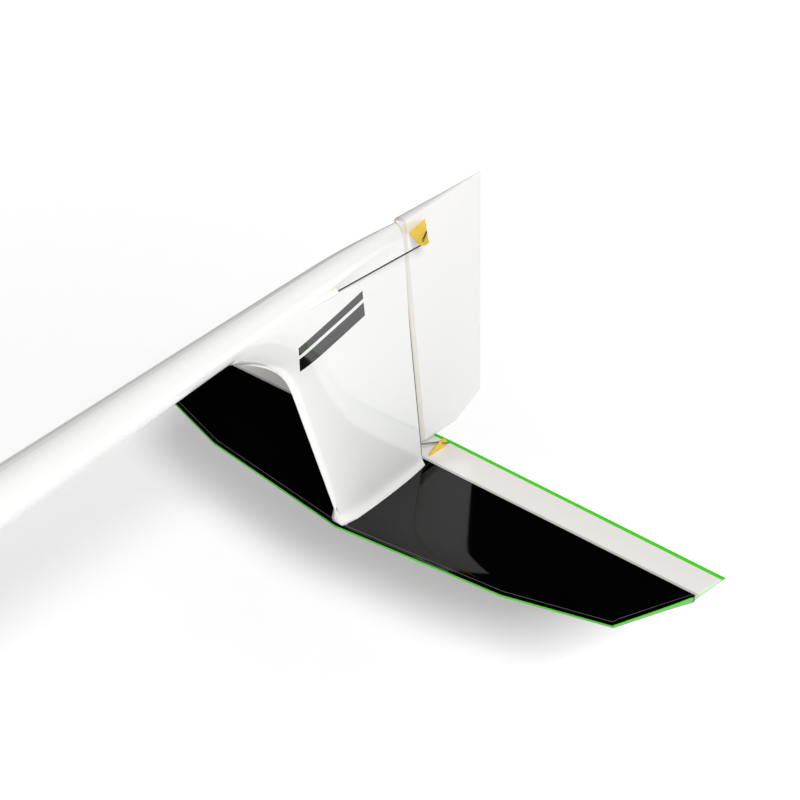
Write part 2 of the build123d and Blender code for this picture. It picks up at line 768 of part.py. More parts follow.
def rudder_rib(outline):
    with BuildPart() as rib:
        add(rudder_fill)
        add(rudder_side, mode=Mode.INTERSECT)
        add(prism(outline), mode=Mode.INTERSECT)
        add(rudder_behind(nose_depth + glue), mode=Mode.INTERSECT)
        add(rudder_strip(rear_strip + glue), mode=Mode.SUBTRACT)
    return rib.part


rib_thick = 2.0
with BuildPart() as rudder_top_rib:
    add(rudder_rib([(60, rudder_high - rib_thick), (230, rudder_high - rib_thick), (230, 290), (60, 290)]))
rudder_top_rib.part.label = "rudder_top_rib"
export_step(rudder_top_rib.part, "parts/rudder_top_rib.step")

with BuildPart() as rudder_bottom_rib:
    raised = [(x, z + rib_thick) for x, z in low_edge]
    add(rudder_rib(raised + [(230, -10), (60, -10)]))
rudder_bottom_rib.part.label = "rudder_bottom_rib"
export_step(rudder_bottom_rib.part, "parts/rudder_bottom_rib.step")

with BuildPart() as rudder_hinge_bushes:
    add(rudder_axis_bars(-bush_end, bush_end, bush_radius))
    add(rudder_axis_bars(-bush_end - 1, bush_end + 1, pin_radius + pin_play), mode=Mode.SUBTRACT)
    add(notch_in_rudder, mode=Mode.SUBTRACT)
rudder_hinge_bushes.part.label = "rudder_hinge_bushes"
export_step(rudder_hinge_bushes.part, "parts/rudder_hinge_bushes.step")


# ---------- pushrods, each with a Z bend through its horn ----------
bend_radius = 0.95
stub_length = 11.0
rod_reach = 78.0         # rudder wire's length ahead of the sleeve's mouth
elevator_stub = 8.0


def bent_wire(route, radii):
    with BuildPart() as wire:
        with BuildLine() as path:
            FilletPolyline(*route, radius=radii)
        with BuildSketch(Plane(path.line @ 0, z_dir=path.line % 0)):
            Circle(wire_radius)
        sweep(path=path.line)
    return wire.part


hole_centre = on_rudder_axis(horn_height).from_local_coords(Vector(0, -horn_reach, 0))
under = hole_centre - axis_up * bend_offset
over = hole_centre + axis_up * bend_offset
mouth_point = Vector(stab_x(wire_mouth[0]), wire_mouth[1], stab_z(wire_mouth[2]))
forward = (mouth_point - under).normalized()
with BuildPart() as rudder_pushrod:
    rod_far = mouth_point + forward * rod_reach
    stub_way = (axis_aft + Vector(0, 0.45, 0)).normalized()
    add(bent_wire([rod_far, under, over, over + stub_way * stub_length], [bend_radius, bend_radius]))
rudder_pushrod.part.label = "rudder_pushrod"
export_step(rudder_pushrod.part, "parts/rudder_pushrod.step")

with BuildPart() as elevator_pushrod:
    inner_y = 2 * (elevator_horn_y - horn_thick / 2) - rod_line_y
    here = Vector(stab_x(elevator_hole[0]), rod_line_y, stab_z(elevator_hole[1]))
    there = Vector(here.X, inner_y - 0.45, here.Z)
    front = Vector(stab_x(rod_front_x), rod_line_y, stab_z(rod_height(rod_front_x)))
    stub_end = there + (here - front).normalized() * elevator_stub
    add(bent_wire([front, here, there, stub_end], [bend_radius, bend_radius]))
elevator_pushrod.part.label = "elevator_pushrod"
export_step(elevator_pushrod.part, "parts/elevator_pushrod.step")

print("boom axis", tuple(boom_along))
print("rudder horn hole", hole_centre)
print("rudder wire's front end", mouth_point + forward * rod_reach)
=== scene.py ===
import json
import math
import bmesh
import bpy
import numpy as np
from mathutils import Matrix, Vector


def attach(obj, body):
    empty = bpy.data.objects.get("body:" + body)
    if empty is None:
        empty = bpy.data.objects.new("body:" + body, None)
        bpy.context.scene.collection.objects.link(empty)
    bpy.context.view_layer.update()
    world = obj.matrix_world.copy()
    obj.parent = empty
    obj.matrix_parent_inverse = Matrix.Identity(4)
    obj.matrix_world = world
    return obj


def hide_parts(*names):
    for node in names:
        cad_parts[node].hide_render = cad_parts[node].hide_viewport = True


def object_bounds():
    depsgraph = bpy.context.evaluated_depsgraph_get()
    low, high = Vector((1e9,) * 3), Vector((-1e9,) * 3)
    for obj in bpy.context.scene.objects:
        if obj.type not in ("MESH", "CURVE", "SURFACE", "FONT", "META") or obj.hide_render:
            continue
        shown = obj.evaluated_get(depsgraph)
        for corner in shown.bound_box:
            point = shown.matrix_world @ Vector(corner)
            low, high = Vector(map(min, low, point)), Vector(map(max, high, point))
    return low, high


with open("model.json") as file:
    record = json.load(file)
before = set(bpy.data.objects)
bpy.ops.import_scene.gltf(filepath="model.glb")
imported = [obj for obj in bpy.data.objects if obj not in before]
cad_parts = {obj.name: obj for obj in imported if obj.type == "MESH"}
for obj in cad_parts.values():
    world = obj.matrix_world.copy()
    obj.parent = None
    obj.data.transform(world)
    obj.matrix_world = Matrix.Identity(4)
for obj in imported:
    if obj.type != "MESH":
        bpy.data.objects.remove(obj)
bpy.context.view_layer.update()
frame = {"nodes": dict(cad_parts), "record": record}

mm = 0.001
body = {
    "stabX": 450.0,        # stabiliser's leading edge behind the boom's mouth
    "stabZ": -235.0,       # stabiliser's mid-plane
    "sweep": 0.334,        # lean of the fin's leading edge
    "footX": 6.4,          # fin's leading edge at the mid-plane
    "lean": 0.137,         # lean of the rudder's hinge line
    "hingeX": 124.5,       # both hinge lines at the mid-plane
    "finGap": 7.8,         # fin's rear edge ahead of the hinge line
}
# every finished piece is worked out in millimetres from here, the stabiliser's leading edge
stabPlace = np.array([body["stabX"], 0.0, body["stabZ"]])


def smooth01(t):
    # 3t^2 - 2t^3, clipped to 0..1
    t = np.clip(t, 0.0, 1.0)
    return t * t * (3 - 2 * t)


def ringFaces(rings, around):
    # quads between neighbouring rings; the last place of a ring joins its first
    a, b = np.meshgrid(np.arange(rings - 1), np.arange(around), indexing="ij")
    nextB = (b + 1) % around
    quads = [a * around + b, (a + 1) * around + b, (a + 1) * around + nextB, a * around + nextB]
    return np.stack(quads, -1).reshape(-1, 4)


def weld(mesh, distance=0.004):
    # merges the doubled points of seams and poles, then turns every face outward
    bm = bmesh.new()
    bm.from_mesh(mesh)
    bmesh.ops.remove_doubles(bm, verts=bm.verts, dist=distance * mm)
    bmesh.ops.dissolve_degenerate(bm, edges=bm.edges, dist=distance * mm * 0.5)
    bmesh.ops.recalc_face_normals(bm, faces=bm.faces)
    bm.to_mesh(mesh)
    bm.free()
    mesh.update()


def ringShell(name, rings, sharpAngle):
    # one smooth closed skin over a row of rings; corners past the angle stay crisp
    mesh = bpy.data.meshes.new(name)
    places = (rings + stabPlace).reshape(-1, 3) * mm
    mesh.from_pydata(places, [], ringFaces(*rings.shape[:2]).tolist())
    mesh.update()
    mesh.polygons.foreach_set("use_smooth", np.ones(len(mesh.polygons), bool))
    weld(mesh)
    mesh.set_sharp_from_angle(angle=math.radians(sharpAngle))
    piece = bpy.data.objects.new(name, mesh)
    bpy.context.scene.collection.objects.link(piece)
    return piece


def pointsOf(piece):
    # the mesh's points as x, y and z in millimetres from the stabiliser's leading edge
    co = np.zeros(len(piece.data.vertices) * 3, np.float32)
    piece.data.vertices.foreach_get("co", co)
    return (co.reshape(-1, 3) / mm - stabPlace).T


def addAttribute(piece, name, values):
    # one number a point, for the materials
    layer = piece.data.attributes.new(name, "FLOAT", "POINT")
    layer.data.foreach_set("value", np.asarray(values, np.float32))


def newMaterial(name):
    # a material with its nodes, its links and its shader
    material = bpy.data.materials.new(name)
    material.use_nodes = True
    nodes = material.node_tree.nodes
    return material, nodes, material.node_tree.links, nodes["Principled BSDF"]


def nodesOf(material):
    # nodes, links, shader and the socket that colours the shader now
    nodes, links = material.node_tree.nodes, material.node_tree.links
    shader = nodes["Principled BSDF"]
    return nodes, links, shader, shader.inputs["Base Color"].links[0].from_socket


def noiseOn(nodes, links, scale, detail=3.0, stretch=(1, 1, 1)):
    # cloud pattern in object space, scale in waves per metre
    where = nodes.new("ShaderNodeTexCoord")
    mapping = nodes.new("ShaderNodeMapping")
    mapping.inputs["Scale"].default_value = stretch
    noise = nodes.new("ShaderNodeTexNoise")
    noise.inputs["Scale"].default_value = scale
    noise.inputs["Detail"].default_value = detail
    links.new(where.outputs["Object"], mapping.inputs["Vector"])
    links.new(mapping.outputs["Vector"], noise.inputs["Vector"])
    return noise.outputs["Fac"]


def spread(nodes, links, value, low, high):
    # noise, which keeps to about 0.1..0.9, stretched to the range low..high
    ranged = nodes.new("ShaderNodeMapRange")
    ranged.inputs["From Min"].default_value = 0.1
    ranged.inputs["From Max"].default_value = 0.9
    ranged.inputs["To Min"].default_value = low
    ranged.inputs["To Max"].default_value = high
    links.new(value, ranged.inputs["Value"])
    return ranged.outputs["Result"]


def mixColour(nodes, links, factor, first, second):
    # the first colour where the factor is 0, the second where it is 1
    mix = nodes.new("ShaderNodeMix")
    mix.data_type = "RGBA"
    for socket, value in ((mix.inputs[6], first), (mix.inputs[7], second)):
        if isinstance(value, tuple):
            socket.default_value = (*value, 1.0)
        else:
            links.new(value, socket)
    links.new(factor, mix.inputs[0])
    return mix.outputs[2]


def maths(nodes, links, kind, *values):
    # one sum on numbers or sockets
    node = nodes.new("ShaderNodeMath")
    node.operation = kind
    for socket, value in zip(node.inputs, values):
        if isinstance(value, (int, float)):
            socket.default_value = value
        else:
            links.new(value, socket)
    return node.outputs[0]


def bumpFrom(nodes, links, shader, height, strength, distance):
    # fine relief, the distance in metres
    bump = nodes.new("ShaderNodeBump")
    bump.inputs["Strength"].default_value = strength
    bump.inputs["Distance"].default_value = distance
    links.new(height, bump.inputs["Height"])
    links.new(bump.outputs["Normal"], shader.inputs["Normal"])


def attributeOf(nodes, name):
    # the number stored at each point
    node = nodes.new("ShaderNodeAttribute")
    node.attribute_name = name
    return node.outputs["Fac"]


def splitPlace(nodes, links):
    # x, y and z of the object's own coordinates
    where = nodes.new("ShaderNodeTexCoord")
    split = nodes.new("ShaderNodeSeparateXYZ")
    links.new(where.outputs["Object"], split.inputs[0])
    return split.outputs["X"], split.outputs["Y"], split.outputs["Z"]


# the three white skins
gelcoat = {
    "tail": ((0.665, 0.665, 0.66), (0.64, 0.64, 0.63)),        # light and deep tone
    "rudder": ((0.655, 0.65, 0.645), (0.635, 0.63, 0.625)),
    "elevator": ((0.79, 0.772, 0.74), (0.77, 0.752, 0.72)),
    "tailRoughness": 0.10,
    "surfaceRoughness": 0.20,
    "orangePeel": 0.006,   # strength of the moulding's relief
    "coat": 0.5,
    "coatRoughness": 0.08,
}


def gelcoatMaterial(name, tones, roughness, orangePeel=0.0):
    # glossy skin: faint cloudiness in the tone, a finer cloud in the gloss, and perhaps orange peel
    material, nodes, links, shader = newMaterial(name)
    cloud = spread(nodes, links, noiseOn(nodes, links, 9.0, 1.5), 0.0, 1.0)
    links.new(mixColour(nodes, links, cloud, *tones), shader.inputs["Base Color"])
    gloss = spread(nodes, links, noiseOn(nodes, links, 40.0), roughness * 0.8, roughness * 1.3)
    links.new(gloss, shader.inputs["Roughness"])
    shader.inputs["Coat Weight"].default_value = gelcoat["coat"]
    shader.inputs["Coat Roughness"].default_value = gelcoat["coatRoughness"]
    shader.inputs["IOR"].default_value = 1.5
    if orangePeel:
        bumpFrom(nodes, links, shader, noiseOn(nodes, links, 90.0, 1.0), orangePeel, 0.0004)
    return material


tailWhite = gelcoatMaterial("tailGelcoat", gelcoat["tail"], gelcoat["tailRoughness"], gelcoat["orangePeel"])
rudderWhite = gelcoatMaterial("rudderGelcoat", gelcoat["rudder"], gelcoat["surfaceRoughness"])
elevatorWhite = gelcoatMaterial("elevatorPlain", gelcoat["elevator"], gelcoat["surfaceRoughness"])


# horns, spars, wire, wood and metal
def wireMaterial():
    # drawn steel: fine streaks along the wire, in the tone and in the gloss
    material, nodes, links, shader = newMaterial("springSteel")
    streak = noiseOn(nodes, links, 300.0, 4.0, (0.05, 1, 1))
    links.new(mixColour(nodes, links, streak, (0.20, 0.20, 0.20), (0.42, 0.42, 0.41)),
              shader.inputs["Base Color"])
    shader.inputs["Metallic"].default_value = 1.0
    links.new(spread(nodes, links, streak, 0.28, 0.45), shader.inputs["Roughness"])
    return material


def plainMaterial(name, light, dark, roughness, scale, metallic=0.0, stretch=(1, 1, 1), bump=0.15):
    # two close tones in a cloud or grain pattern, with the same pattern in the gloss and the relief
    material, nodes, links, shader = newMaterial(name)
    grain = noiseOn(nodes, links, scale, 5.0, stretch)
    links.new(mixColour(nodes, links, grain, light, dark), shader.inputs["Base Color"])
    shader.inputs["Metallic"].default_value = metallic
    gloss = spread(nodes, links, grain, roughness * 0.8, roughness * 1.2)
    links.new(gloss, shader.inputs["Roughness"])
    bumpFrom(nodes, links, shader, grain, bump, 0.0002)
    return material


def wovenMaterial(name, light, dark, pitch, roughness):
    # plain weave: half plus half the product of two crossed sine waves, one cell per pitch, and a cloud
    # added to its tone
    material, nodes, links, shader = newMaterial(name)
    x, y, z = splitPlace(nodes, links)
    wave = math.pi / (pitch * mm)
    warp, weft = maths(nodes, links, "ADD", x, z), maths(nodes, links, "SUBTRACT", y, z)
    sines = [maths(nodes, links, "SINE", maths(nodes, links, "MULTIPLY", way, wave)) for way in (warp, weft)]
    weave = maths(nodes, links, "MULTIPLY_ADD", maths(nodes, links, "MULTIPLY", *sines), 0.5, 0.5)
    cloud = noiseOn(nodes, links, 220.0, 3.0)
    tone = maths(nodes, links, "ADD", maths(nodes, links, "MULTIPLY", weave, 0.55),
                 maths(nodes, links, "MULTIPLY", cloud, 0.5))
    links.new(mixColour(nodes, links, tone, dark, light), shader.inputs["Base Color"])
    shader.inputs["Roughness"].default_value = roughness
    shader.inputs["Coat Weight"].default_value = 0.25
    bumpFrom(nodes, links, shader, weave, 0.25, 0.0002)
    return material


hornYellow = wovenMaterial("hornLaminate", (0.82, 0.57, 0.06), (0.60, 0.37, 0.02), 0.9, 0.38)
carbonWeave = wovenMaterial("carbonWeave", (0.055, 0.055, 0.06), (0.015, 0.015, 0.016), 2.0, 0.35)
wireSteel = wireMaterial()
plywood = plainMaterial("birchPly", (0.66, 0.50, 0.31), (0.52, 0.37, 0.21), 0.6, 60.0, stretch=(0.15, 1, 4))
brass = plainMaterial("turnedBrass", (0.78, 0.58, 0.25), (0.62, 0.44, 0.17), 0.3, 200.0, 1.0)
stainless = plainMaterial("stainlessScrew", (0.62, 0.62, 0.61), (0.45, 0.45, 0.45), 0.32, 250.0, 1.0)
ivory = plainMaterial("ivoryTube", (0.80, 0.775, 0.70), (0.74, 0.71, 0.63), 0.35, 80.0, bump=0.05)

edgeGreen = {"light": (0.045, 0.58, 0.004), "deep": (0.075, 0.66, 0.010), "grain": 60.0}


def greenMaterial():
    # green edge paint: two close greens in a cloud, which sets the gloss as well
    material, nodes, links, shader = newMaterial("greenEdge")
    cloud = noiseOn(nodes, links, edgeGreen["grain"])
    tone = mixColour(nodes, links, cloud, edgeGreen["light"], edgeGreen["deep"])
    links.new(tone, shader.inputs["Base Color"])
    links.new(spread(nodes, links, cloud, 0.2, 0.26), shader.inputs["Roughness"])
    return material


greenGloss = greenMaterial()
print("materials ready")

# tail moulding: boom and fin in one
tail = {
    # half width, half height and middle of the boom, by the distance from its mouth
    "boomWide": [(0, 21.3), (430, 12.2), (455, 11.4), (480, 10.1), (505, 8.2), (530, 6.0), (550, 4.6)],
    "boomTall": [(0, 21.0), (430, 13.7), (455, 13.2), (480, 12.6), (505, 12.0), (530, 11.4), (550, 10.9)],
    "boomMid": [(0, 0.0), (430, 24.5), (455, 25.7), (480, 26.2), (505, 26.0), (530, 25.3), (550, 24.4)],
    "blur": 14.0,          # the stations are rounded off over this length
    "trim": 0.982,         # part of the half height that is used, which keeps the top inside its box
    "finHalf": 7.0,
    "finSwell": 0.012,     # the fin thickens by this much a millimetre above swellFrom
    "swellFrom": 150.0,
    "finTop": 240.0,       # the leading edge meets the boom here
    "lookDown": 150.0,     # and shapes the boom's underside from here up
    "curveFrom": 155.0,    # it curves forward above here, by curveReach at curveRun higher
    "curveRun": 84.0,
    "curveReach": 55.0,
    "curvePower": 3.2,
    "thickest": 0.32,
    "blunt": 0.16,         # how much nearer the front the thickest place is under the boom
    "bluntFrom": 175.0,
    "bluntRun": 55.0,
    "rearHalf": 4.7,
    "flare": 6.0,          # spread of the foot over the stabiliser
    "flareTop": 6.5,       # it fades above here
    "flareFade": 3.2,
    "flareRun": 0.15,      # it grows over this share of the chord
    "flareLoss": 0.6,      # and this share of it is gone at the rear edge
    "ahead": 0.35,         # how fast the fin's field falls ahead of its leading edge
    "fillet": 9.0,         # softness of the join between boom and fin
    "saddle": 50.0,        # depth of the boom's underside over the fin
    "saddleRun": 45.0,     # the underside deepens over this length
    "saddleLead": 20.0,    # and starts this far ahead of the fin's columns
    "foot": 2.0,           # lowest line, inside the stabiliser
    "finStart": -145.0,    # ahead of here there is only boom
    "pivot": 260.0,        # height at which the leaning columns keep their place
    "above": 26.0,         # the search for the top ends this far above the boom's middle
    "widest": 32.0,        # the search for the flank ends here
    "steps": 1400,
    "halvings": 30,
    "wall": 1.2,
    "mouthEnd": -150.0,    # the boom is hollow ahead of here
    "rearHollow": 66.0,    # and the fin is hollow this far ahead of its rear edge
    "boomColumns": 48,
    "finColumns": 200,
    "rows": 134,
    "crisp": 48,
}
seam = {"half": 0.3, "faint": 0.25, "strong": 0.7, "grain": 12.0, "colour": (0.45, 0.45, 0.44)}
stripes = {
    "centre": (0.440, -0.022),      # x and z of their middle, in metres
    "tilt": math.radians(12),
    "bars": [(0.010, 0.0045, 0.040), (-0.006, 0.0075, 0.040)],      # offset, half width, half length
    "flank": 2.0,                   # they start this far from the middle plane
    "colour": (0.006, 0.006, 0.006),
}


def alongTable(x, table):
    # straight lines between the stations, averaged over a short run so that they don't show
    xs, values = zip(*table)
    blur = tail["blur"]
    near = np.minimum(np.abs(x), blur)          # no averaging past the mouth
    return np.mean([np.interp(x + s * near / blur, xs, values) for s in np.linspace(-blur, blur, 9)], axis=0)


def footSpread(z):
    # the flare, falling off exponentially above the stabiliser
    return tail["flare"] * np.exp(-np.maximum(0, z - tail["flareTop"]) / tail["flareFade"])


def finLead(z):
    # leans back with height, then curves forward into the boom as a power; the foot spreads forward too
    z = np.minimum(z, tail["finTop"])
    rise = np.maximum(0, z - tail["curveFrom"]) / tail["curveRun"]
    curve = tail["curveReach"] * rise ** tail["curvePower"]
    return body["footX"] - body["sweep"] * z - curve - footSpread(z)


def hingeLine(z):
    # a straight line that leans forward with height
    return body["hingeX"] - body["lean"] * z


def foilHalf(chord, thickest, half, rearHalf):
    # a quarter ellipse up to the thickest place, then a power of 1.6 down to the rear edge
    nose = half * np.sqrt(np.clip(1 - ((thickest - chord) / thickest) ** 2, 0, 1))
    aft = half + (rearHalf - half) * np.clip((chord - thickest) / (1 - thickest), 0, 1) ** 1.6
    return np.where(chord < thickest, nose, aft)


def boomField(x, y, z):
    # above zero inside the boom: an ellipse whose underside deepens over the fin, from where the
    # leading edge curves into it, with a tanh as its limit
    row = x + body["stabX"]
    wide = alongTable(row, tail["boomWide"])
    tall = alongTable(row, tail["boomTall"]) * tail["trim"]
    mid = alongTable(row, tail["boomMid"]) - body["stabZ"]
    heights = np.linspace(tail["finTop"], tail["lookDown"], 91)
    edge = np.interp(x, finLead(heights), heights)
    deep = np.maximum(tall, tail["saddle"] * np.tanh((mid - edge) / tail["saddle"]))
    over = smooth01((x - tail["finStart"] + tail["saddleLead"]) / tail["saddleRun"])
    drop = np.where(z < mid, tall + (deep - tall) * over, tall)
    return np.minimum(wide, tall) * (1 - np.sqrt((y / wide) ** 2 + ((z - mid) / drop) ** 2)), mid


def finField(x, y, z, mid):
    # above zero inside the fin: half its thickness at this place less the distance from the middle plane,
    # falling ahead of the leading edge and above the boom's middle
    lead = finLead(z)
    chord = (x - lead) / (hingeLine(z) - lead)
    kept = np.clip(chord, 0, 1)
    half = tail["finHalf"] + tail["finSwell"] * np.maximum(0, z - tail["swellFrom"])
    grown = np.sqrt(np.clip(chord / tail["flareRun"], 0, 1))
    foot = footSpread(z) * grown * (1 - tail["flareLoss"] * kept ** 5)
    thickest = tail["thickest"] - tail["blunt"] * smooth01((z - tail["bluntFrom"]) / tail["bluntRun"])
    fin = foilHalf(kept, thickest, half, tail["rearHalf"]) + foot - np.abs(y)
    return fin - tail["ahead"] * np.maximum(0, lead - x) - np.maximum(0, z - mid)


def tailField(x, y, z):
    # above zero inside the moulding: the larger of boom and fin, with a round join where they are alike
    boom, mid = boomField(x, y, z)
    fin = finField(x, y, z, mid)
    join = np.maximum(tail["fillet"] - np.abs(boom - fin), 0) / tail["fillet"]
    return np.maximum(boom, fin) + join ** 2 * tail["fillet"] / 4


def tailGrid():
    # columns that lean more and more towards the slanted rear edge, each from its lowest place to its top;
    # lowest and top come from where the field changes sign, each flank from halving the distance to it
    rearBase = hingeLine(tail["pivot"]) - body["finGap"]
    boomPart = np.linspace(-body["stabX"], tail["finStart"], tail["boomColumns"], endpoint=False)
    base = np.concatenate([boomPart, np.linspace(tail["finStart"], rearBase, tail["finColumns"])])
    shear = smooth01((base - tail["finStart"]) / (rearBase - tail["finStart"])) * body["lean"]
    mid = alongTable(base + body["stabX"], tail["boomMid"]) - body["stabZ"]
    z = tail["foot"] + (mid + tail["above"] - tail["foot"])[:, None] * np.linspace(0, 1, tail["steps"])
    x = base[:, None] - shear[:, None] * (z - tail["pivot"])
    inside = tailField(x, np.zeros_like(z), z)
    middle = np.argmin(np.abs(z - mid[:, None]), axis=1)
    order = np.arange(tail["steps"])
    low = np.max(np.where((inside <= 0) & (order < middle[:, None]), order, -1), axis=1)
    high = np.min(np.where((inside <= 0) & (order > middle[:, None]), order, tail["steps"] - 1), axis=1)
    pick = np.arange(len(base))

    def crossing(outer, inner):
        # where a straight line between the two places is zero
        a, b = inside[pick, outer], inside[pick, inner]
        part = np.clip(-a / (b - a + 1e-9), 0, 1)
        return z[pick, outer] + (z[pick, inner] - z[pick, outer]) * part

    bottom = np.where(low < 0, tail["foot"], crossing(np.maximum(low, 0), np.maximum(low, 0) + 1))
    top = crossing(high, high - 1)
    wave = (1 - np.cos(np.linspace(0, math.pi, tail["rows"]))) / 2
    z = bottom[:, None] + (top - bottom)[:, None] * wave
    x = base[:, None] - shear[:, None] * (z - tail["pivot"])
    near, far = np.zeros_like(z), np.full_like(z, tail["widest"])
    for _ in range(tail["halvings"]):
        half = (near + far) / 2
        within = tailField(x, half, z) > 0
        near, far = np.where(within, half, near), np.where(within, far, half)
    near[:, -1] = 0.0
    near[low >= 0, 0] = 0.0
    return base, x, near, z


def ringOf(x, half, z):
    # both sides of a column as one ring: up the right side, down the left
    return np.concatenate([np.stack([x, half, z], -1), np.stack([x, -half, z], -1)[..., ::-1, :]], -2)


def innerRing(x, half, z, wall):
    # the ring again, one wall thickness further in
    centre = (z.max(-1, keepdims=True) + z.min(-1, keepdims=True)) / 2
    tall = (z.max(-1, keepdims=True) - z.min(-1, keepdims=True)) / 2
    return ringOf(x, np.maximum(half - wall, 0), centre + (z - centre) * (1 - wall / tall))


def buildTail():
    # one skin: up the hollow boom to its mouth, back along the outside, and into the hollow fin
    base, x, half, z = tailGrid()
    outer = ringOf(x, half, z)
    inner = innerRing(x, half, z, tail["wall"])
    mouth = inner[base < tail["mouthEnd"]][::-1]
    mouthEnd = mouth[:1] * np.array([1, 0, 0]) + mouth[:1].mean(1, keepdims=True) * np.array([0, 1, 1])
    rear = inner[base > base[-1] - tail["rearHollow"]][::-1]
    rearEnd = rear[-1:] * np.array([1, 0, 1])
    rings = np.concatenate([mouthEnd, mouth, outer, rear, rearEnd])
    return ringShell("tailMoulding", rings, tail["crisp"])


def markTail():
    # the mould seam along the middle plane, and two plain straight stripes on each flank:
    # u runs along the stripes, v across them
    nodes, links, shader, white = nodesOf(tailWhite)
    x, y, z = splitPlace(nodes, links)
    across = maths(nodes, links, "ABSOLUTE", y)
    onSeam = maths(nodes, links, "LESS_THAN", across, seam["half"] * mm)
    worn = spread(nodes, links, noiseOn(nodes, links, seam["grain"]), seam["faint"], seam["strong"])
    seamed = mixColour(nodes, links, maths(nodes, links, "MULTIPLY", onSeam, worn), white, seam["colour"])
    cosTilt, sinTilt = math.cos(stripes["tilt"]), math.sin(stripes["tilt"])
    dx = maths(nodes, links, "SUBTRACT", x, stripes["centre"][0])
    dz = maths(nodes, links, "SUBTRACT", z, stripes["centre"][1])
    u = maths(nodes, links, "ADD", maths(nodes, links, "MULTIPLY", dx, cosTilt),
              maths(nodes, links, "MULTIPLY", dz, sinTilt))
    v = maths(nodes, links, "SUBTRACT", maths(nodes, links, "MULTIPLY", dz, cosTilt),
              maths(nodes, links, "MULTIPLY", dx, sinTilt))
    marked = maths(nodes, links, "GREATER_THAN", across, stripes["flank"] * mm)
    bars = []
    for offset, halfWidth, halfLength in stripes["bars"]:
        fromBar = maths(nodes, links, "ABSOLUTE", maths(nodes, links, "SUBTRACT", v, offset))
        inWidth = maths(nodes, links, "LESS_THAN", fromBar, halfWidth)
        inLength = maths(nodes, links, "LESS_THAN", maths(nodes, links, "ABSOLUTE", u), halfLength)
        bars.append(maths(nodes, links, "MULTIPLY", inWidth, inLength))
    marked = maths(nodes, links, "MULTIPLY", maths(nodes, links, "MAXIMUM", *bars), marked)
    links.new(mixColour(nodes, links, marked, seamed, stripes["colour"]), shader.inputs["Base Color"])


markTail()
tailPiece = buildTail()
tailPiece.data.materials.append(tailWhite)
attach(tailPiece, "tail")
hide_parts("tail_shell_left", "tail_shell_right")
print("tail moulding:", len(tailPiece.data.polygons), "faces")

# stabiliser
stab = {
    "front": [(0, 0), (167.6, 19.9), (261.1, 48.1), (293.5, 119)],        # span, leading edge
    "half": [(0, 6.5), (167.6, 5.6), (261.1, 4.3), (293.5, 3.2)],         # span, half thickness
    "thickest": 0.26,
    "rear": 123.0,
    "noseRoot": 4.2,       # radius of the elevator's nose at the middle
    "noseTip": 2.2,
    "span": 300.0,
    "run": 0.3,            # clearance round the elevator's nose
    "lip": 0.8,
    "thinnest": 0.5,       # least distance from the leading edge to the trough
    "stations": 300,
    "across": 40,
    "trough": 15,
    "crisp": 40,
    "green": 0.82,         # width of the green edge seen from above
    "wobble": 0.25,        # how much the painted lines wander
    "highlightLine": 3.9,      # the painted highlight, a pale line from the leading edge's rounding, lies this far from the edge
    "highlightHalf": 0.20,
    "highlightStrength": 0.30,
    "highlightColour": (0.30, 0.28, 0.31),
    "blacks": ((0.0003, 0.0003, 0.0003), (0.0008, 0.0008, 0.0008)),
    "greens": ((0.06, 0.34, 0.03), (0.09, 0.40, 0.045)),
}


def elevatorNose(y):
    # radius of the elevator's nose, straight from the middle to the tip
    return stab["noseRoot"] + (stab["noseTip"] - stab["noseRoot"]) * np.abs(y) / stab["span"]


def stabOutline():
    # evenly spaced places along the leading edge of both halves, corners kept
    front = np.array([(x, y) for y, x in stab["front"]], float)
    outline = np.concatenate([front[::-1] * [1, -1], front[1:]])
    run = np.concatenate([[0], np.cumsum(np.hypot(*np.diff(outline, axis=0).T))])
    even = np.union1d(np.linspace(0, run[-1], stab["stations"]), run)
    return np.interp(even, run, outline[:, 0]), np.interp(even, run, outline[:, 1]), outline


def insetFrom(outline, x, y):
    # distance in plan from the nearest straight of the leading edge
    best = np.full(x.shape, np.inf)
    for start, end in zip(outline[:-1], outline[1:]):
        way = end - start
        t = np.clip(((x - start[0]) * way[0] + (y - start[1]) * way[1]) / (way @ way), 0, 1)
        best = np.minimum(best, np.hypot(x - start[0] - t * way[0], y - start[1] - t * way[1]))
    return best


def buildStab():
    # section: a quarter ellipse from the leading edge to the thickest place, a flank that falls with a
    # power of 1.5 to the lip, then a round trough that the elevator's nose turns in
    lead, y, outline = stabOutline()
    half = np.interp(np.abs(y), *zip(*stab["half"]))[:, None]
    nose = elevatorNose(y)[:, None] + stab["run"]
    lead = lead[:, None]
    turn = np.linspace(0, math.pi / 2, stab["across"] // 2)
    thick = lead + stab["thickest"] * (stab["rear"] - lead)
    t = np.linspace(0, 1, stab["across"])[1:]
    topX = np.concatenate([thick - (thick - lead) * np.cos(turn), thick + (stab["rear"] - thick) * t], 1)
    topZ = np.concatenate([half * np.sin(turn), half + (nose + stab["lip"] - half) * t ** 1.5], 1)
    opening = np.arccos(np.clip((body["hingeX"] - stab["rear"]) / nose, -1, 1))
    curl = opening * np.linspace(1, -1, stab["trough"])
    troughX = np.maximum(body["hingeX"] - nose * np.cos(curl), lead + stab["thinnest"])
    x = np.concatenate([topX, troughX, topX[:, ::-1]], 1)
    z = np.concatenate([topZ, nose * np.sin(curl), -topZ[:, ::-1]], 1)
    rings = np.stack([x, np.repeat(y[:, None], x.shape[1], 1), z], -1)
    tips = rings[[0, -1]] * np.array([1, 1, 0])
    piece = ringShell("stabiliserShell", np.concatenate([tips[:1], rings, tips[1:]]), stab["crisp"])
    px, py, _ = pointsOf(piece)
    addAttribute(piece, "inset", insetFrom(outline, px, py))
    return piece


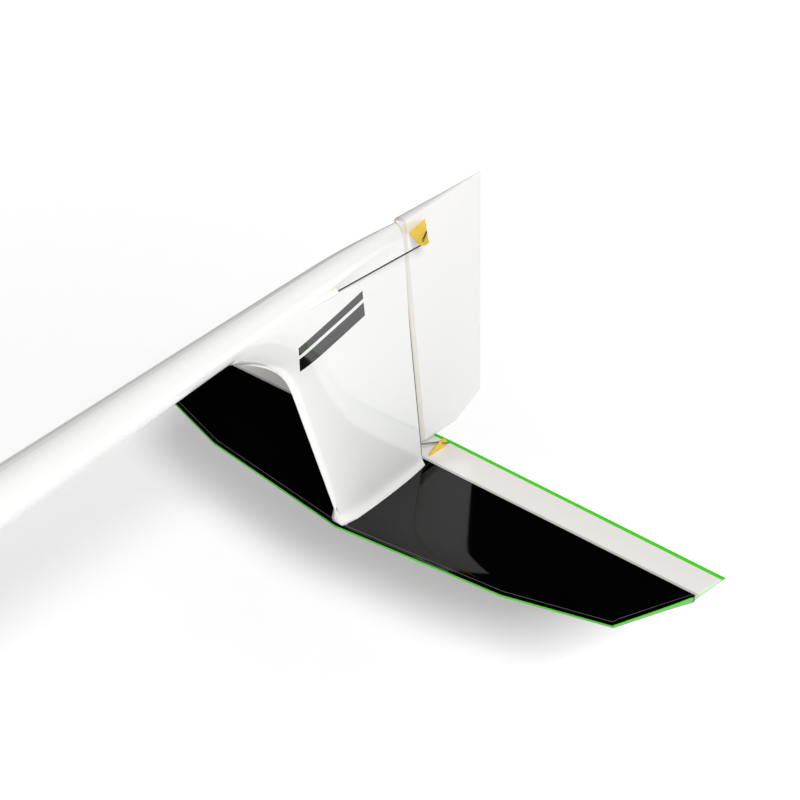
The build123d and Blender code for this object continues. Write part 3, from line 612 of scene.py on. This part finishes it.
def blackMaterial():
    # deep black gloss, slightly uneven; a green edge, and a fine pale line along the leading edge, a painted
    # highlight of its rounding
    material, nodes, links, shader = newMaterial("stabiliserGloss")
    wobble = maths(nodes, links, "MULTIPLY", noiseOn(nodes, links, 500.0), stab["wobble"])
    inset = maths(nodes, links, "ADD", attributeOf(nodes, "inset"), wobble)
    green = maths(nodes, links, "LESS_THAN", inset, stab["green"])
    # painted highlight: a pale line a few millimetres in from the leading edge, where its rounding catches
    # the light
    fromLine = maths(nodes, links, "ABSOLUTE", maths(nodes, links, "SUBTRACT", inset, stab["highlightLine"]))
    onLine = maths(nodes, links, "LESS_THAN", fromLine, stab["highlightHalf"])
    line = maths(nodes, links, "MULTIPLY", onLine, stab["highlightStrength"])
    cloud = noiseOn(nodes, links, 25.0, 4.0)
    black = mixColour(nodes, links, cloud, *stab["blacks"])
    black = mixColour(nodes, links, line, black, stab["highlightColour"])
    greens = mixColour(nodes, links, cloud, *stab["greens"])
    links.new(mixColour(nodes, links, green, black, greens), shader.inputs["Base Color"])
    links.new(spread(nodes, links, cloud, 0.05, 0.07), shader.inputs["Roughness"])
    shader.inputs["Specular IOR Level"].default_value = 0.5
    bumpFrom(nodes, links, shader, noiseOn(nodes, links, 900.0, 1.0, (0.35, 1, 1)), 0.012, 0.0003)
    return material


stabGloss = blackMaterial()
stabPiece = buildStab()
stabPiece.data.materials.append(stabGloss)
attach(stabPiece, "tail")
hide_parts("stab_skin_upper", "stab_skin_lower", "stab_leading_edge")
print("stabiliser:", len(stabPiece.data.polygons), "faces")

# rudder and elevator
section = {
    "fullness": 0.35,      # how far the flanks stand out from straight
    "edgeFrom": 0.985,     # the trailing edge rounds off from here
    "edgeRun": 0.015,
    "edgeLeast": 0.04,
    "crisp": 50,
    "endTurns": 7,
}
rudder = {
    "noseLow": 4.6,        # half thickness of the nose at the bottom
    "noseHigh": 5.1,       # and noseRun higher
    "noseRun": 285.0,
    "noseDepth": 7.1,      # front of the nose ahead of the hinge line
    "rearFoot": 209.7,
    "rearLean": 0.0525,
    "edge": 0.5,           # half thickness of the trailing edge
    "lower": [(115.0, 29.0), (124.7, 27.5), (166.7, 22.9), (207.8, 39.0)],   # lower edge, x and z
    "top": 273.5,
    "tall": 245.0,
    "hingeLevel": 31.56,   # height at which the lower edge's places are read
    "round": 2.4,          # the ends round off over this length
    "rows": 120,
    "around": 44,
    "shadedTo": 0.2,         # painted shade covers the nose up to here behind the hinge line
    "shadeTones": ((0.575, 0.555, 0.515), (0.53, 0.51, 0.47)),
}
elevator = {
    "rootRear": 167.3,
    "tipRear": 162.0,
    "edge": 0.5,
    "tip": [(118.0, 293.7), (124.5, 294.5), (162.0, 300.0), (168.0, 300.0)],   # x, half span
    "sectionSpan": 297.0,  # half span at which the sections are taken
    "round": 0.7,
    "rows": 260,
    "around": 44,
    "green": 5.0,          # width of the green trailing edge
    "greenTip": 0.45,
    "tipPaint": 0.7,       # how much the green at the tip covers
    "tipColour": (0.12, 0.50, 0.08),
    "shadeBand": 2.6,       # the nose's band of painted shade, greyer, ends this far behind the hinge line
    "shadeGrey": (0.50, 0.51, 0.49),
}


def surfaceSection(surface, nose, chord):
    # half a section from the front of the nose to the edge: places along the chord (0 at the hinge) and
    # half thickness; a quarter circle, or ellipse where the surface has a nose depth, then a nearly
    # straight flank with a slight fullness
    nose, chord = nose[:, None], chord[:, None]
    depth = np.full(nose.shape, surface["noseDepth"]) if "noseDepth" in surface else nose
    count, edge = surface["around"], surface["edge"]
    turn = np.linspace(0, 1, count // 2) * math.pi / 2
    t = np.linspace(0, 1, count)[1:]
    flank = nose + (edge - nose) * t + section["fullness"] * np.sin(math.pi * t) * (1 - t)
    past = ((t - section["edgeFrom"]) / section["edgeRun"]).clip(0, 1)
    flank = flank * np.sqrt(np.clip(1 - past ** 2, section["edgeLeast"], 1))
    return (np.concatenate([-np.cos(turn) * depth, t * chord], 1),
            np.concatenate([np.sin(turn) * nose, flank], 1))


def endRounding(rows, length, radius):
    # fractions along the span, and how full the skin is there: a quarter circle to nothing at each end
    turn = np.linspace(0, math.pi / 2, section["endTurns"])
    ends = radius * (1 - np.sin(turn)) / length
    middle = np.linspace(radius / length, 1 - radius / length, rows)[1:-1]
    t = np.concatenate([ends[::-1], middle, 1 - ends])
    near = np.minimum(t, 1 - t) * length
    full = np.sqrt(np.clip(1 - np.clip(1 - near / radius, 0, 1) ** 2, 0, None))
    return t, full


def mirroredShell(name, side, mirror):
    # a row of half sections and their mirror image, closed onto the middle plane at both ends
    rings = np.concatenate([side, (side * mirror)[:, ::-1]], 1)
    flat = (np.array(mirror) + 1) / 2
    rings = np.concatenate([rings[:1] * flat, rings, rings[-1:] * flat])
    return ringShell(name, rings, section["crisp"])


def rudderNose(z):
    # half thickness of the nose, straight from bottom to top
    return rudder["noseLow"] + (rudder["noseHigh"] - rudder["noseLow"]) * z / rudder["noseRun"]


def rudderChord(z):
    # from the hinge line to the leaning trailing edge
    return rudder["rearFoot"] - rudder["rearLean"] * z - hingeLine(z)


def buildRudder():
    # sections stacked along the hinge line, from the cut lower edge to the top; each point keeps its share
    # of the chord at its own height
    t, full = endRounding(rudder["rows"], rudder["tall"], rudder["round"])
    lowX, lowZ = np.array(rudder["lower"]).T
    level = rudder["top"] * t
    nose = rudderNose(level)
    behind, _ = surfaceSection(rudder, nose, rudderChord(level))
    bottom = np.interp(behind[:1] + hingeLine(rudder["hingeLevel"]), lowX, lowZ)
    z = bottom + (rudder["top"] - bottom) * t[:, None]
    chord = rudderChord(z.mean(1))
    behind, half = surfaceSection(rudder, nose, chord)
    share = behind / chord[:, None]
    x = hingeLine(z) + np.where(behind < 0, behind, share * rudderChord(z))
    piece = mirroredShell("rudderShell", np.stack([x, half * full[:, None], z], -1), [1, -1, 1])
    px, _, pz = pointsOf(piece)
    addAttribute(piece, "behindHinge", px - hingeLine(pz))
    return piece


def elevatorChord(y):
    # from the hinge line to the trailing edge, straight from root to tip
    rear = elevator["rootRear"] + (elevator["tipRear"] - elevator["rootRear"]) * y / stab["span"]
    return rear - body["hingeX"]


def buildElevator():
    # sections side by side along the span, drawn out at each tip to its slanted outline
    t, full = endRounding(elevator["rows"], 2 * stab["span"], elevator["round"])
    tipX, tipY = np.array(elevator["tip"]).T
    across = 2 * t - 1
    level = np.abs(across) * elevator["sectionSpan"]
    behind, half = surfaceSection(elevator, elevatorNose(level), elevatorChord(level))
    x = body["hingeX"] + behind
    y = across[:, None] * np.interp(x, tipX, tipY)
    piece = mirroredShell("elevatorShell", np.stack([x, y, half * full[:, None]], -1), [1, 1, -1])
    px, py, _ = pointsOf(piece)
    addAttribute(piece, "behindHinge", px - body["hingeX"])
    addAttribute(piece, "inset", body["hingeX"] + elevatorChord(np.abs(py)) - px)
    addAttribute(piece, "tipInset", np.interp(px, tipX, tipY) - np.abs(py))
    return piece


def paintElevator():
    # warm white with a green trailing edge, a hair of green round the tip, and a greyer nose, painted shade
    # of the nose turning in the stabiliser's trough
    nodes, links, shader, white = nodesOf(elevatorWhite)
    # painted shade: the nose inside the stabiliser's trough is painted greyer
    inNoseShade = maths(nodes, links, "LESS_THAN", attributeOf(nodes, "behindHinge"), elevator["shadeBand"])
    white = mixColour(nodes, links, inNoseShade, white, elevator["shadeGrey"])
    onRear = maths(nodes, links, "LESS_THAN", attributeOf(nodes, "inset"), elevator["green"])
    onTip = maths(nodes, links, "LESS_THAN", attributeOf(nodes, "tipInset"), elevator["greenTip"])
    cloud = noiseOn(nodes, links, edgeGreen["grain"])
    green = mixColour(nodes, links, cloud, edgeGreen["light"], edgeGreen["deep"])
    onTip = maths(nodes, links, "MULTIPLY", onTip, elevator["tipPaint"])
    tipped = mixColour(nodes, links, onTip, white, elevator["tipColour"])
    links.new(mixColour(nodes, links, onRear, tipped, green), shader.inputs["Base Color"])


def paintRudder():
    # the round nose ahead of the hinge gets painted shade of the recess behind the fin: darker and a little
    # creamier than the painted flanks
    nodes, links, shader, white = nodesOf(rudderWhite)
    # painted shade: the nose in the recess between fin and rudder is darkened and tinted cream
    inNoseShade = maths(nodes, links, "LESS_THAN", attributeOf(nodes, "behindHinge"), rudder["shadedTo"])
    shadedNose = mixColour(nodes, links, noiseOn(nodes, links, 70.0), *rudder["shadeTones"])
    links.new(mixColour(nodes, links, inNoseShade, white, shadedNose), shader.inputs["Base Color"])


paintRudder()
rudderPiece = buildRudder()
rudderPiece.data.materials.append(rudderWhite)
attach(rudderPiece, "rudder")
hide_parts("rudder_skin_left", "rudder_skin_right", "rudder_trailing_edge", "rudder_nose_spar",
            "rudder_top_rib", "rudder_bottom_rib")
paintElevator()
elevatorPiece = buildElevator()
elevatorPiece.data.materials.append(elevatorWhite)
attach(elevatorPiece, "elevator")
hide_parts("elevator_skin_upper", "elevator_skin_lower", "elevator_trailing_edge",
            "elevator_nose_spar", "elevator_tip_ribs")
print("rudder and elevator:", len(rudderPiece.data.polygons), len(elevatorPiece.data.polygons), "faces")

# materials of the pieces that keep their CAD shape
slotMaterials = {
    "white_gelcoat": tailWhite, "rudder_white": rudderWhite, "elevator_white": elevatorWhite,
    "black_gelcoat": stabGloss, "green_edge": greenGloss, "horn_laminate": hornYellow,
    "steel_wire": wireSteel, "ivory_tube": ivory, "carbon": carbonWeave, "plywood": plywood,
    "brass": brass, "stainless": stainless,
}
slotOf = {part["node"]: part["material_slot"] for part in frame["record"]["subparts"]}
for nodeName, node in frame["nodes"].items():
    for place in node.material_slots:
        place.material = slotMaterials[slotOf[nodeName]]
print("CAD nodes dressed:", len(frame["nodes"]))

# floor, light and camera
lights = {
    "middle": (0.45, 0.0, -0.15),
    "key": ((-2.25, -3.45, 3.85), (1.1, 1.1), 318.0),      # place, size, watts
    "fill": ((-0.1, -3.0, 0.35), (1.6, 1.2), 9.0),
    "world": 0.48,
    "mirrored": 0.004,     # how bright the surroundings look in polished surfaces
}
paper = {
    "size": 12.0,
    "place": (0.2, 0.0),
    "drop": 0.24,          # the tail hangs over the floor, held by its boom
    "light": (1.0, 1.0, 1.0),
    "deep": (0.985, 0.985, 0.985),
    "glowFrom": 0.75,      # its own light starts this far out
    "glowTo": 1.9,         # and is at its strongest here
    "glow": 0.27,
}
camera = {
    "place": (-0.4860, -0.8304, 0.7763),
    "turn": -50.98,        # degrees about Z, from straight ahead
    "height": 34.96,       # degrees above level
    "roll": 0.01139,       # radians
    "lens": 82.03,
}


def paperMaterial():
    # white paper, lit from behind further out: its glow grows with the length of the object's x and y
    material, nodes, links, shader = newMaterial("studioPaper")
    cloud = noiseOn(nodes, links, 30.0)
    links.new(mixColour(nodes, links, cloud, paper["light"], paper["deep"]), shader.inputs["Base Color"])
    shader.inputs["Roughness"].default_value = 0.9
    shader.inputs["Specular IOR Level"].default_value = 0.1
    where = nodes.new("ShaderNodeTexCoord")
    far = nodes.new("ShaderNodeVectorMath")
    far.operation = "LENGTH"
    links.new(where.outputs["Object"], far.inputs[0])
    rise = nodes.new("ShaderNodeMapRange")
    rise.inputs["From Min"].default_value = paper["glowFrom"]
    rise.inputs["From Max"].default_value = paper["glowTo"]
    rise.inputs["To Max"].default_value = paper["glow"]
    links.new(far.outputs["Value"], rise.inputs["Value"])
    shader.inputs["Emission Color"].default_value = (1, 1, 1, 1)
    links.new(rise.outputs["Result"], shader.inputs["Emission Strength"])
    return material


def buildFloor():
    # a flat square of paper under the lowest place of the tail
    low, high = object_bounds()
    ground = low[2] - paper["drop"]
    bpy.ops.mesh.primitive_plane_add(size=paper["size"], location=(*paper["place"], ground))
    floor = bpy.context.object
    floor.name = "studioFloor"
    floor.data.materials.append(paperMaterial())


def addArea(name, place, size, power, mirrored):
    # a rectangular lamp aimed at the middle of the tail
    light = bpy.data.lights.new(name, "AREA")
    light.shape = "RECTANGLE"
    light.size, light.size_y = size
    light.energy = power
    lamp = bpy.data.objects.new(name, light)
    lamp.location = place
    aim = Vector(lights["middle"]) - Vector(place)
    lamp.rotation_euler = aim.to_track_quat("-Z", "Y").to_euler()
    bpy.context.scene.collection.objects.link(lamp)
    lamp.visible_glossy = mirrored


def buildWorld():
    # even white light, nearly dark to mirror rays so that the black gloss stays black
    world = bpy.data.worlds.new("studioWorld")
    world.use_nodes = True
    nodes, links = world.node_tree.nodes, world.node_tree.links
    ray = nodes.new("ShaderNodeLightPath")
    strength = nodes.new("ShaderNodeMapRange")
    strength.inputs["To Min"].default_value = lights["world"]
    strength.inputs["To Max"].default_value = lights["mirrored"]
    links.new(ray.outputs["Is Glossy Ray"], strength.inputs["Value"])
    nodes["Background"].inputs["Color"].default_value = (1, 1, 1, 1)
    links.new(strength.outputs["Result"], nodes["Background"].inputs["Strength"])
    bpy.context.scene.world = world


def buildCamera():
    # its back points away from the tail by the turn and the height, then the roll turns the other two axes
    a, e = math.radians(camera["turn"]), math.radians(camera["height"])
    back = Vector((math.sin(a) * math.cos(e), -math.cos(a) * math.cos(e), math.sin(e)))
    right = Vector((math.cos(a), math.sin(a), 0))
    up = back.cross(right)
    c, s = math.cos(camera["roll"]), math.sin(camera["roll"])
    right, up = right * c + up * s, up * c - right * s
    lens = bpy.data.cameras.new("viewCamera")
    lens.lens = camera["lens"]
    lens.sensor_width = 36
    lens.clip_start = 0.01
    eye = bpy.data.objects.new("viewCamera", lens)
    eye.matrix_world = Matrix.Translation(camera["place"]) @ Matrix((right, up, back)).transposed().to_4x4()
    bpy.context.scene.collection.objects.link(eye)
    bpy.context.scene.camera = eye


buildFloor()
addArea("keyLight", *lights["key"], mirrored=True)
addArea("fillLight", *lights["fill"], mirrored=False)
buildWorld()
buildCamera()
bpy.context.scene.view_settings.view_transform = "Standard"
print("floor, lights and camera placed")
